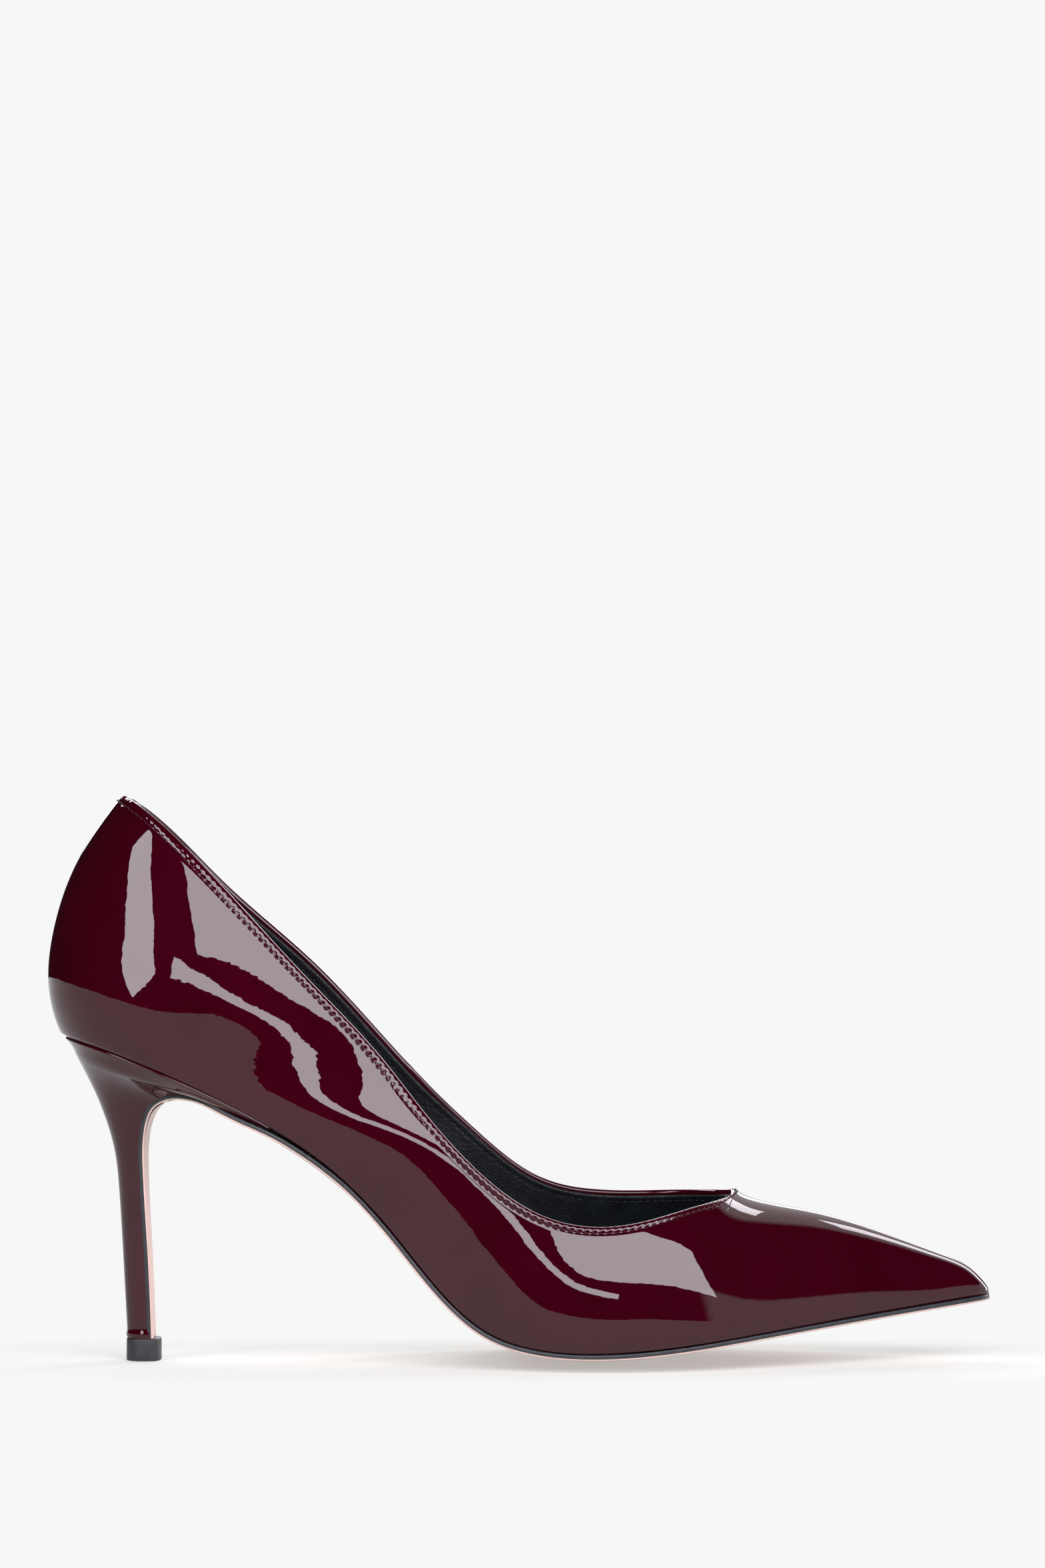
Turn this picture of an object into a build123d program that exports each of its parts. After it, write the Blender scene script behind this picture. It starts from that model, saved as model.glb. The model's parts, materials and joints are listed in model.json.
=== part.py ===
"""Right high heel pump, size EU 38, with an 85 mm stiletto heel.

Frame: +Z up, floor at z = 0, toe towards +X, outer (lateral) side towards -Y.
The origin is on the floor under the middle of the shoe.
"""

from build123d import *
from math import cos, pi, sin
import os

# Leather and board thicknesses, from the outside of the shoe inwards.
UPPER_LEATHER = 1.2
INTERLINING = 0.8
LINING = 0.8
OUTSOLE = 2.3
OUTSOLE_OVERHANG = 0.4
INSOLE_BOARD = 1.8
SOCK_LINING = 0.7
PAD = 0.8
HEEL_COVER = 0.6
BREAST_FLAP = 1.2

# Depths of the faces between those layers, measured inwards from the outer surface.
UNDER_UPPER = UPPER_LEATHER
UNDER_INTERLINING = UNDER_UPPER + INTERLINING
UNDER_LINING = UNDER_INTERLINING + LINING

# Heights of the faces between the bottom layers, measured up from the feather surface.
MARGIN_TOP = UPPER_LEATHER
INSOLE_TOP = MARGIN_TOP + INSOLE_BOARD
SOCK_TOP = INSOLE_TOP + SOCK_LINING

# Cross-sections of the last, fanned from the back of the heel to the toe. Each has its
# bottom point and its top point (x, z), half width, centre y and how much fuller its
# lower half is. The planes of the sections all hold the Y direction.
LAST_SECTIONS = [
    ((-103.0, 150.0), (14.0, 100.0), 23.0, 0.0, 0.50),
    ((-116.0, 131.0), (17.0, 93.0), 24.0, 0.0, 0.50),
    ((-122.5, 112.0), (20.0, 87.0), 25.0, 0.0, 0.50),
    ((-123.5, 97.0), (23.0, 82.0), 25.5, 0.0, 0.48),
    ((-119.0, 83.0), (26.0, 78.0), 25.5, 0.0, 0.42),
    ((-107.0, 69.0), (29.0, 74.0), 25.5, -0.3, 0.34),
    ((-88.0, 58.0), (32.0, 70.5), 26.0, -0.8, 0.22),
    ((-65.0, 46.0), (35.0, 67.0), 27.0, -1.5, 0.12),
    ((-44.0, 28.0), (38.0, 63.5), 29.0, -1.6, 0.12),
    ((-24.0, 4.0), (41.0, 60.0), 32.0, -1.2, 0.16),
    ((-4.0, -8.0), (44.5, 56.5), 35.0, -0.6, 0.20),
    ((18.0, -10.0), (48.5, 52.5), 36.0, 0.0, 0.24),
    ((38.0, -8.0), (54.0, 47.0), 34.0, 0.5, 0.26),
    ((56.0, -5.0), (62.0, 42.0), 29.5, 0.9, 0.26),
    ((76.0, -1.0), (78.0, 38.6), 22.5, 1.2, 0.26),
    ((94.0, 3.0), (95.0, 33.5), 15.5, 1.3, 0.24),
    ((108.0, 7.0), (108.5, 28.5), 10.2, 1.2, 0.20),
    ((117.0, 11.0), (117.0, 24.9), 6.6, 1.1, 0.10),
    ((119.6, 12.6), (119.6, 23.1), 5.3, 1.1, 0.07),
    ((121.5, 14.0), (121.5, 21.0), 3.8, 1.0, 0.05),
    ((123.0, 16.4), (123.0, 18.6), 1.4, 1.0, 0.05),
]
SECTION_POINTS = 7
SECTION_ROUNDNESS = 0.05
NARROWEST_HALF_WIDTH = 0.9
TOE_INSET_FACTOR = 2.0

# Feather line, where the upper meets the sole, seen from the side: heel, shank, ball, toe.
FEATHER_LINE = [
    (-128.0, 87.4),
    (-105.0, 79.8),
    (-91.0, 74.1),
    (-64.0, 60.6),
    (-51.0, 51.8),
    (-34.0, 35.0),
    (-18.0, 16.0),
    (-9.0, 8.6),
    (2.0, 4.3),
    (18.0, 2.6),
    (38.0, 3.9),
    (60.0, 7.4),
    (84.0, 11.4),
    (108.0, 14.9),
    (130.0, 17.7),
]
STRIP_HALF_WIDTH = 46.0

# Topline seen from each side, from the back peak to the point of the V on the vamp.
TOPLINE_LATERAL = [
    (-111.0, 152.0),
    (-102.5, 147.2),
    (-74.0, 121.8),
    (-52.2, 98.3),
    (-34.6, 79.3),
    (-21.5, 63.0),
    (-8.5, 49.5),
    (4.5, 40.7),
    (17.5, 37.3),
    (30.6, 38.2),
    (44.2, 41.5),
    (57.8, 44.4),
]
TOPLINE_MEDIAL = [
    (-111.0, 152.0),
    (-102.5, 147.2),
    (-80.0, 126.4),
    (-54.0, 103.4),
    (-27.9, 75.3),
    (-10.5, 58.3),
    (3.0, 47.8),
    (19.7, 43.2),
    (36.0, 43.1),
    (57.8, 44.4),
]
TAPE_WIDTH = 6.0

# Back of the heel seen from the side, from the top piece up to the seat.
HEEL_BACK = [
    (-102.4, 5.8),
    (-103.4, 22.5),
    (-104.5, 43.5),
    (-106.2, 56.2),
    (-109.4, 65.9),
    (-113.9, 75.3),
    (-119.2, 85.2),
]
# Half widths of the heel against height, measured square to the sloping heel seat.
SEAT_SLOPE = 25.0
HEEL_WIDTHS = [
    (-60.0, 4.6),
    (-38.0, 4.6),
    (-9.6, 5.1),
    (1.8, 6.2),
    (10.5, 11.0),
    (18.9, 19.5),
    (22.7, 23.0),
    (30.0, 24.8),
]
SEAT_HALF_WIDTH = 24.8
SEAT_FRONT = -60.0
# Outer face of the breast flap seen from the side: down the breast, then round the arch.
BREAST_ARCH = [
    (-95.2, 5.8),
    (-95.9, 15.0),
    (-96.9, 35.0),
    (-97.7, 52.0),
    (-97.6, 60.0),
    (-96.2, 65.2),
    (-92.0, 67.9),
    (-86.0, 68.0),
    (-80.0, 66.3),
    (-73.5, 63.0),
]
TIP_BACK, TOP_PIECE_HEIGHT = HEEL_BACK[0]
TIP_FRONT = BREAST_ARCH[0][0]
TIP_HALF_WIDTH = HEEL_WIDTHS[0][1]

# Inner edge of the lasting margin, as (x, half width) from the heel seat to the toe.
MARGIN_EDGE = [
    (-106.0, 6.0),
    (-98.0, 11.0),
    (-80.0, 12.5),
    (-60.0, 12.0),
    (-40.0, 10.5),
    (-22.0, 12.0),
    (-4.0, 17.5),
    (16.0, 21.5),
    (34.0, 22.0),
    (50.0, 20.0),
    (68.0, 14.5),
    (88.0, 8.0),
    (104.0, 3.0),
]
MARGIN_BACK = MARGIN_EDGE[0][0]
MARGIN_FRONT = MARGIN_EDGE[-1][0]
FILLER_BACK = -8.0

SHANK_BACK = -92.0
SHANK_FRONT = -4.0
SHANK_HALF_WIDTH = 6.0
RIVET_RADIUS = 1.5
RIVET_POINTS = (3, 6)

HEEL_PAD = (-102.0, -66.0, 13.0)
FOREFOOT_PAD = (0.0, 50.0, 18.0)

DOWEL_BOTTOM = (-99.2, 5.8)
DOWEL_TOP = (-101.6, 50.0)
DOWEL_RADIUS = 1.8
DOWEL_BORE_RADIUS = 1.1
PIN_IN_TIP = 3.0
PIN_LENGTH = 16.0

FASTENER_SHIFT = 8.0
SCREW_LENGTH = 17.0
SCREW_RADIUS = 2.0
SCREW_HEAD_RADIUS = 3.6
SCREW_HEAD_HEIGHT = 1.4
NAIL_LENGTH = 7.0
NAIL_RADIUS = 0.7
NAIL_SPREAD = (5.2, 8.0)

# Where the linings and stiffeners end, as straight cuts seen from the side.
COUNTER_FRONT = ((-50.0, 30.0), (-86.0, 160.0))
GRIP_FRONT = ((-88.0, 60.0), (-104.0, 170.0))
VAMP_BACK = ((14.0, -20.0), (34.0, 70.0))
TOE_PUFF_BACK = ((84.0, -20.0), (80.0, 70.0))

# Size of the helper blocks that cut the pieces.
REACH = 220.0

os.makedirs("parts", exist_ok=True)


def save(piece, name):
    """Label one piece and write it to its own file."""
    piece.label = name
    export_step(piece, f"parts/{name}.step")


def half_section(section, inset, side):
    """Points of half a last section, from its bottom to its top, in its plane."""
    (bottom_x, bottom_z), (top_x, top_z), half_width, _, fullness = section
    length = ((top_x - bottom_x) ** 2 + (top_z - bottom_z) ** 2) ** 0.5
    points = []
    for step in range(SECTION_POINTS + 1):
        turn = pi * step / SECTION_POINTS
        swell = 1 + fullness * cos(turn) + SECTION_ROUNDNESS * cos(turn) ** 2
        across = side * (half_width - inset) * sin(turn) * swell
        along = inset + (length - 2 * inset) * (1 - cos(turn)) / 2
        points.append((across, along))
    return points


def section_plane(section):
    """Plane of a last section: x across the shoe, y from its bottom to its top point."""
    (bottom_x, bottom_z), (top_x, top_z), _, centre_y, _ = section
    up_x = top_x - bottom_x
    up_z = top_z - bottom_z
    return Plane((bottom_x, centre_y, bottom_z), x_dir=(0, 1, 0), z_dir=(up_z, 0, -up_x))


def last_body(inset):
    """The shape of the last, grown or shrunk by an inset from the upper's outer face."""
    with BuildPart() as body:
        for section in LAST_SECTIONS:
            if section[2] - TOE_INSET_FACTOR * inset < NARROWEST_HALF_WIDTH:
                continue
            with BuildSketch(section_plane(section)):
                with BuildLine():
                    rise = half_section(section, inset, 1)
                    fall = half_section(section, inset, -1)[::-1]
                    Spline(*rise, tangents=[(1, 0), (-1, 0)])
                    Spline(*fall, tangents=[(-1, 0), (1, 0)])
                make_face()
        loft()
    return body.part


def parallel(line, distance):
    """Points a distance to the left of a line of points, seen along it."""
    points = []
    for index, (x, z) in enumerate(line):
        before = line[max(index - 1, 0)]
        after = line[min(index + 1, len(line) - 1)]
        run = after[0] - before[0]
        rise = after[1] - before[1]
        length = (run**2 + rise**2) ** 0.5
        points.append((x - distance * rise / length, z + distance * run / length))
    return points


def bottom_strip(low, high):
    """A strip that follows the feather line between two heights above it."""
    lower = parallel(FEATHER_LINE, low)
    upper = parallel(FEATHER_LINE, high)[::-1]
    with BuildPart() as strip:
        with BuildSketch(Plane.XZ):
            with BuildLine():
                Spline(*lower)
                Line(lower[-1], upper[0])
                Spline(*upper)
                Line(upper[-1], lower[0])
            make_face()
        extrude(amount=STRIP_HALF_WIDTH, both=True)
    return strip.part


def lowered(topline, depth):
    """The topline moved down the wall by a depth, and on past the point of the V."""
    points = parallel(topline, -depth)[:-1]
    x, z = topline[-1]
    points.append((x + depth, z - 0.3 * depth))
    return points


def above_topline(depth=0.0):
    """Everything above the topline, or above a line parallel to it lower on the wall."""
    with BuildPart() as region:
        for topline, reach in ((TOPLINE_LATERAL, 60.0), (TOPLINE_MEDIAL, -60.0)):
            line = lowered(topline, depth) if depth else topline
            back_x, back_z = line[0]
            front_x, front_z = line[-1]
            with BuildSketch(Plane.XZ):
                with BuildLine():
                    Spline(*line)
                    Polyline(
                        (front_x, front_z),
                        (front_x, REACH),
                        (-REACH, REACH),
                        (-REACH, back_z + 0.3 * (back_x + REACH)),
                        (back_x, back_z),
                    )
                make_face()
            extrude(amount=reach)
    return region.part


def horseshoe(length, half_width, inset):
    """Points of a horseshoe outline: flat front at a length, round at the back."""
    side = half_width - inset
    shoulder = min(half_width, 0.45 * length)
    return [
        (length, side),
        (shoulder, 0.96 * side),
        (inset, 0),
        (shoulder, -0.96 * side),
        (length, -side),
    ]


def heel_blank(inset):
    """The heel block before its top and its breast are cut: side, back and plan shapes."""
    back = [(x + inset, z) for x, z in HEEL_BACK]
    right = [(half - inset, height) for height, half in HEEL_WIDTHS]
    left = [(-y, height) for y, height in right[::-1]]
    slope = SEAT_SLOPE * pi / 180
    along_seat = Plane((0, 0, 0), x_dir=(0, 1, 0), z_dir=(-cos(slope), 0, sin(slope)))
    plan = horseshoe(SEAT_FRONT - HEEL_BACK[-1][0], SEAT_HALF_WIDTH, inset)
    with BuildPart() as blank:
        with BuildSketch(Plane.XZ):
            with BuildLine():
                Spline(*back)
                Polyline(back[-1], (SEAT_FRONT, back[-1][1]), (SEAT_FRONT, back[0][1]), back[0])
            make_face()
        extrude(amount=STRIP_HALF_WIDTH, both=True)
        with BuildSketch(along_seat):
            with BuildLine():
                Spline(*right)
                Line(right[-1], left[0])
                Spline(*left)
                Line(left[-1], right[0])
            make_face()
        extrude(amount=REACH, both=True, mode=Mode.INTERSECT)
        with BuildSketch(Plane((HEEL_BACK[-1][0], 0, 0))):
            with BuildLine():
                Spline(*plan, tangents=[(-1, 0), (1, 0)])
                Line(plan[-1], plan[0])
            make_face()
        extrude(amount=REACH, mode=Mode.INTERSECT)
    return blank.part


def behind_breast(gap):
    """Everything behind and above a line a gap behind the outer face of the flap."""
    line = parallel(BREAST_ARCH, gap)
    line[-1] = (BREAST_ARCH[-1][0], line[-1][1])
    with BuildPart() as region:
        with BuildSketch(Plane.XZ):
            with BuildLine():
                Spline(*line)
                Polyline(
                    line[-1],
                    (line[-1][0], 110.0),
                    (-150.0, 110.0),
                    (-150.0, -20.0),
                    (line[0][0], -20.0),
                    line[0],
                )
            make_face()
        extrude(amount=60.0, both=True)
    return region.part


def plan_region(outline, start_x, end_x):
    """A tall prism from a list of (x, half width), cut off at two x values."""
    right = list(outline)
    left = [(x, -half) for x, half in outline[::-1]]
    with BuildPart() as region:
        with BuildSketch():
            with BuildLine():
                Spline(*right)
                Line(right[-1], left[0])
                Spline(*left)
                Line(left[-1], right[0])
            make_face()
            with Locations(((start_x + end_x) / 2, 0)):
                Rectangle(end_x - start_x, 4 * STRIP_HALF_WIDTH, mode=Mode.INTERSECT)
        extrude(amount=REACH)
    return region.part


def slot_region(start_x, end_x, half_width):
    """A tall prism with round ends along the middle of the shoe."""
    with BuildPart() as region:
        with BuildSketch(Plane(((start_x + end_x) / 2, 0, 0))):
            SlotOverall(end_x - start_x, 2 * half_width)
        extrude(amount=REACH)
    return region.part


def feather_frame(index):
    """Plane on the feather surface at one point of the line, its z normal to the sole."""
    before = FEATHER_LINE[index - 1]
    after = FEATHER_LINE[index + 1]
    x, z = FEATHER_LINE[index]
    run = after[0] - before[0]
    rise = after[1] - before[1]
    return Plane((x, 0, z), x_dir=(run, 0, rise), z_dir=(-rise, 0, run))


def half_space(cut, forward):
    """The block in front of, or behind, a straight cut seen from the side."""
    (low_x, low_z), (high_x, high_z) = cut
    edge_x = REACH if forward else -REACH
    with BuildPart() as region:
        with BuildSketch(Plane.XZ):
            with BuildLine():
                Polyline(
                    (low_x, low_z),
                    (high_x, high_z),
                    (edge_x, high_z),
                    (edge_x, low_z),
                    close=True,
                )
            make_face()
        extrude(amount=2 * STRIP_HALF_WIDTH, both=True)
    return region.part


def side_space(side):
    """The block on the medial side (1) or the lateral side (-1) of the shoe."""
    with BuildPart() as region:
        with Locations((0, side * REACH / 2, 0)):
            Box(2 * REACH, REACH, 2 * REACH)
    return region.part


def result(keep, cut=(), within=()):
    """One piece: a body with other bodies taken off it and limited by more bodies."""
    with BuildPart() as piece:
        add(keep)
        for body in within:
            add(body, mode=Mode.INTERSECT)
        for body in cut:
            add(body, mode=Mode.SUBTRACT)
    return piece.part


# Shared bodies.
last_outside = last_body(0)
last_under_upper = last_body(UNDER_UPPER)
last_under_interlining = last_body(UNDER_INTERLINING)
last_under_lining = last_body(UNDER_LINING)
below_feather = bottom_strip(-28, 0)
below_margin = bottom_strip(-28, MARGIN_TOP)
opening = above_topline()
behind_flap = behind_breast(BREAST_FLAP)
margin_layer = bottom_strip(0, MARGIN_TOP)
shank_slot = slot_region(SHANK_BACK, SHANK_FRONT, SHANK_HALF_WIDTH)

# Fasteners through the heel seat and the shank.
seat = feather_frame(1)
under_head = seat.offset(INSOLE_TOP - PAD - SCREW_HEAD_HEIGHT)
with BuildPart() as heel_screw:
    with BuildSketch(under_head):
        with Locations((FASTENER_SHIFT, 0)):
            Circle(SCREW_HEAD_RADIUS)
    extrude(amount=SCREW_HEAD_HEIGHT)
    with BuildSketch(under_head):
        with Locations((FASTENER_SHIFT, 0)):
            Circle(SCREW_RADIUS)
    extrude(amount=-SCREW_LENGTH)

with BuildPart() as heel_nails:
    with BuildSketch(seat.offset(MARGIN_TOP)):
        with Locations((FASTENER_SHIFT, 0)):
            with GridLocations(2 * NAIL_SPREAD[0], 2 * NAIL_SPREAD[1], 2, 2):
                Circle(NAIL_RADIUS)
    extrude(amount=-NAIL_LENGTH)

with BuildPart() as shank_rivets:
    for index in RIVET_POINTS:
        with BuildSketch(feather_frame(index)):
            Circle(RIVET_RADIUS)
        extrude(amount=INSOLE_TOP - PAD)

save(heel_screw.part, "heel_screw")
save(heel_nails.part, "heel_nails")
save(shank_rivets.part, "shank_rivets")

# Bottom boards, from the margin layer up.
plan_all = plan_region(MARGIN_EDGE, MARGIN_BACK, MARGIN_FRONT)
plan_back = plan_region(MARGIN_EDGE, MARGIN_BACK, FILLER_BACK)
plan_front = plan_region(MARGIN_EDGE, FILLER_BACK, MARGIN_FRONT)
fasteners = [heel_screw.part, heel_nails.part, shank_rivets.part]

save(result(margin_layer, fasteners + [shank_slot], [plan_back]), "tuck_board")
save(result(margin_layer, [shank_slot], [plan_front]), "bottom_filler")
save(result(margin_layer, fasteners, [shank_slot]), "steel_shank")

pad_layer = bottom_strip(INSOLE_TOP - PAD, INSOLE_TOP)
heel_pad = result(pad_layer, [], [slot_region(*HEEL_PAD)])
forefoot_pad = result(pad_layer, [], [slot_region(*FOREFOOT_PAD)])
save(heel_pad, "heel_pad")
save(forefoot_pad, "forefoot_pad")

insole_layer = bottom_strip(MARGIN_TOP, INSOLE_TOP)
insole_cuts = [heel_pad, forefoot_pad] + fasteners
save(result(insole_layer, insole_cuts, [last_under_lining]), "insole_board")

sock_layer = bottom_strip(INSOLE_TOP, SOCK_TOP)
save(result(sock_layer, [], [last_under_lining]), "sock_lining")

# Outsole with its breast flap, heel and top piece.
sole_layer = bottom_strip(-OUTSOLE, 0)
sole_space = half_space(((BREAST_ARCH[-1][0], -50.0), (BREAST_ARCH[-1][0], REACH)), True)
sole_plan = result(sole_layer, [], [last_body(-OUTSOLE_OVERHANG), sole_space])
blank = heel_blank(0)
above_seat = bottom_strip(0, 32)
flap = result(blank, [behind_flap, above_seat], [behind_breast(0)])
with BuildPart() as outsole:
    add(sole_plan)
    add(flap)
save(outsole.part, "outsole")

core_blank = heel_blank(HEEL_COVER)
run = DOWEL_TOP[0] - DOWEL_BOTTOM[0]
rise = DOWEL_TOP[1] - DOWEL_BOTTOM[1]
stem = Plane((DOWEL_BOTTOM[0], 0, DOWEL_BOTTOM[1]), x_dir=(rise, 0, -run), z_dir=(run, 0, rise))
with BuildPart() as dowel:
    with BuildSketch(stem):
        Circle(DOWEL_RADIUS)
    extrude(amount=rise)
with BuildPart() as tip_pin:
    with BuildSketch(stem.offset(-PIN_IN_TIP)):
        Circle(DOWEL_BORE_RADIUS)
    extrude(amount=PIN_LENGTH)
with BuildPart() as dowel_bore:
    with BuildSketch(stem):
        Circle(DOWEL_BORE_RADIUS)
    extrude(amount=rise)
core_cuts = [above_seat, dowel.part, heel_screw.part, heel_nails.part]
save(result(blank, [core_blank, above_seat], [behind_flap]), "heel_cover")
save(result(core_blank, core_cuts, [behind_flap]), "heel_core")
save(result(dowel.part, [dowel_bore.part]), "heel_dowel")
save(tip_pin.part, "tip_pin")

with BuildPart() as heel_tip:
    with BuildSketch():
        with BuildLine(Plane((TIP_BACK, 0, 0))):
            tip_outline = horseshoe(TIP_FRONT - TIP_BACK, TIP_HALF_WIDTH, 0)
            Spline(*tip_outline, tangents=[(-1, 0), (1, 0)])
            Line(tip_outline[-1], tip_outline[0])
        make_face()
    extrude(amount=TOP_PIECE_HEIGHT)
    add(tip_pin.part, mode=Mode.SUBTRACT)
save(heel_tip.part, "heel_tip")

# Upper, with its lasting margin turned under the insole.
inside = result(last_under_upper, [below_margin])
margin_hole = result(bottom_strip(-1, MARGIN_TOP + 0.5), [], [plan_all])
upper = result(last_outside, [below_feather, opening, inside, margin_hole])
save(upper, "upper")

# Stiffening layer: topline tape, heel counter, interlining and toe puff.
below_tape = above_topline(TAPE_WIDTH)
stiff_layer = result(last_under_upper, [last_under_interlining, below_margin, opening])
counter_space = half_space(COUNTER_FRONT, False)
puff_space = half_space(TOE_PUFF_BACK, True)
save(result(stiff_layer, [], [below_tape]), "topline_tape")
save(result(stiff_layer, [below_tape], [counter_space]), "heel_counter")
save(result(stiff_layer, [], [puff_space]), "toe_puff")
save(result(stiff_layer, [below_tape, counter_space, puff_space]), "interlining")

# Lining layer: heel grip, two quarter linings and the vamp lining.
lining_layer = result(last_under_interlining, [last_under_lining, below_margin, opening])
grip_space = half_space(GRIP_FRONT, False)
vamp_space = half_space(VAMP_BACK, True)
save(result(lining_layer, [], [grip_space]), "heel_grip")
save(result(lining_layer, [], [vamp_space]), "vamp_lining")
for side, name in ((1, "quarter_lining_medial"), (-1, "quarter_lining_lateral")):
    save(result(lining_layer, [grip_space, vamp_space], [side_space(side)]), name)
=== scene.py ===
"""Right high heel pump in burgundy patent leather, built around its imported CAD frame."""

import json
from math import cos, pi, radians, sin

import bmesh
import bpy
import numpy as np
from mathutils import Matrix, Vector


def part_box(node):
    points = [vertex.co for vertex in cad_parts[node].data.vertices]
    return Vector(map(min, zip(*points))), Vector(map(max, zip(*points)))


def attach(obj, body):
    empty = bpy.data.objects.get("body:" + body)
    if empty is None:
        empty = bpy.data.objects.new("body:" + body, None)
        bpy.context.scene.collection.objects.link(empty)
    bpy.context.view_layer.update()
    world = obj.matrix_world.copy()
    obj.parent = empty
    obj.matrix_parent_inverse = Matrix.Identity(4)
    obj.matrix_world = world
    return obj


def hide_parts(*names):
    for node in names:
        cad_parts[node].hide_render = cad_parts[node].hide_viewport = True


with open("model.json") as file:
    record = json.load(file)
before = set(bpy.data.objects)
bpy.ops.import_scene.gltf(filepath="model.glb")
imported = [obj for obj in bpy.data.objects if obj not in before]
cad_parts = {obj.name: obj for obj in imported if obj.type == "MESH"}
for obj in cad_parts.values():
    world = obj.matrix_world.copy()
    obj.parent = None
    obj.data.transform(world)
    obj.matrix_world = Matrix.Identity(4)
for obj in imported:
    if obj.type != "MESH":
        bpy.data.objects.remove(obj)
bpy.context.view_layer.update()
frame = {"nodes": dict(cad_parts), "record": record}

MM = 0.001

# ---------------------------------------------------------------------------------------
# Shape of the last, in millimetres. Sections fan from the back of the heel to the toe:
# bottom point, top point (x, z), half width, centre y, fullness of the lower half.
# ---------------------------------------------------------------------------------------
LAST_SECTIONS = [
    ((-103.0, 150.0), (14.0, 100.0), 23.0, 0.0, 0.50),
    ((-116.0, 131.0), (17.0, 93.0), 24.0, 0.0, 0.50),
    ((-122.5, 112.0), (20.0, 87.0), 25.0, 0.0, 0.50),
    ((-123.5, 97.0), (23.0, 82.0), 25.5, 0.0, 0.48),
    ((-119.0, 83.0), (26.0, 78.0), 25.5, 0.0, 0.42),
    ((-107.0, 69.0), (29.0, 74.0), 25.5, -0.3, 0.34),
    ((-88.0, 58.0), (32.0, 70.5), 26.0, -0.8, 0.22),
    ((-65.0, 46.0), (35.0, 67.0), 27.0, -1.5, 0.12),
    ((-44.0, 28.0), (38.0, 63.5), 29.0, -1.6, 0.12),
    ((-24.0, 4.0), (41.0, 60.0), 32.0, -1.2, 0.16),
    ((-4.0, -8.0), (44.5, 56.5), 35.0, -0.6, 0.20),
    ((18.0, -10.0), (48.5, 52.5), 36.0, 0.0, 0.24),
    ((38.0, -8.0), (54.0, 47.0), 34.0, 0.5, 0.26),
    ((56.0, -5.0), (62.0, 42.0), 29.5, 0.9, 0.26),
    ((76.0, -1.0), (78.0, 38.6), 22.5, 1.2, 0.26),
    ((94.0, 3.0), (95.0, 33.5), 15.5, 1.3, 0.24),
    ((108.0, 7.0), (108.5, 28.5), 10.2, 1.2, 0.20),
    ((117.0, 11.0), (117.0, 24.9), 6.6, 1.1, 0.10),
    ((121.5, 14.0), (121.5, 21.0), 3.8, 1.0, 0.05),
]
TOE_TIP = (123.4, 17.6)
SECTION_ROUNDNESS = 0.05
TIP_STATION = float(len(LAST_SECTIONS))

FEATHER_LINE = [
    (-128.0, 87.4),
    (-105.0, 79.8),
    (-91.0, 74.1),
    (-64.0, 60.6),
    (-51.0, 51.8),
    (-34.0, 35.0),
    (-18.0, 16.0),
    (-9.0, 8.6),
    (2.0, 4.3),
    (18.0, 2.6),
    (38.0, 3.9),
    (60.0, 7.4),
    (84.0, 11.4),
    (108.0, 14.9),
    (130.0, 17.7),
]
SOLE_CROWN_RADIUS = 320.0

TOPLINE_LATERAL = [
    (-111.0, 152.0),
    (-102.5, 147.6),
    (-74.0, 121.8),
    (-52.2, 98.3),
    (-34.6, 79.3),
    (-21.5, 63.0),
    (-8.5, 49.5),
    (4.5, 40.7),
    (17.5, 37.3),
    (30.6, 38.2),
    (44.2, 41.5),
    (58.6, 44.2),
]
TOPLINE_MEDIAL = [
    (-111.0, 152.0),
    (-102.5, 147.6),
    (-80.0, 126.4),
    (-54.0, 103.4),
    (-27.9, 75.3),
    (-10.5, 58.3),
    (3.0, 47.8),
    (19.7, 43.2),
    (36.0, 43.1),
    (58.6, 44.2),
]

# Heel: back point, breast-edge point (x, z) and half width at the breast, seat to tip.
HEEL_SECTIONS = [
    ((-117.9, 84.5), (-73.8, 64.6), 24.4),
    ((-116.8, 81.2), (-78.5, 67.2), 22.6),
    ((-115.6, 78.6), (-83.0, 69.0), 20.0),
    ((-114.1, 75.7), (-88.0, 69.7), 16.8),
    ((-112.6, 72.7), (-92.0, 69.1), 13.8),
    ((-111.0, 69.4), (-95.2, 67.4), 11.4),
    ((-109.6, 66.0), (-97.2, 64.6), 9.6),
    ((-107.8, 61.0), (-98.4, 60.4), 7.9),
    ((-106.3, 55.5), (-98.9, 55.2), 6.7),
    ((-105.3, 49.0), (-98.8, 49.0), 5.9),
    ((-104.5, 39.0), (-98.3, 39.0), 5.2),
    ((-103.8, 28.0), (-97.6, 28.0), 4.8),
    ((-103.1, 16.0), (-97.0, 16.0), 4.6),
    ((-102.5, 5.9), (-96.6, 5.9), 4.6),
]
FLAP_THICKNESS = 1.15
SOLE_THICKNESS = 2.3

# The walls lean in over the last millimetres below the topline, from the back to the
# waist, and swell a little just above the sole.
EDGE_LEAN = 0.085
EDGE_LEAN_DEPTH = 12.0
EDGE_LEAN_ABOVE = 4.0
EDGE_LEAN_END = (-62.0, -12.0)
BELLY = 0.03
BELLY_HEIGHT = 9.0

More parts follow.
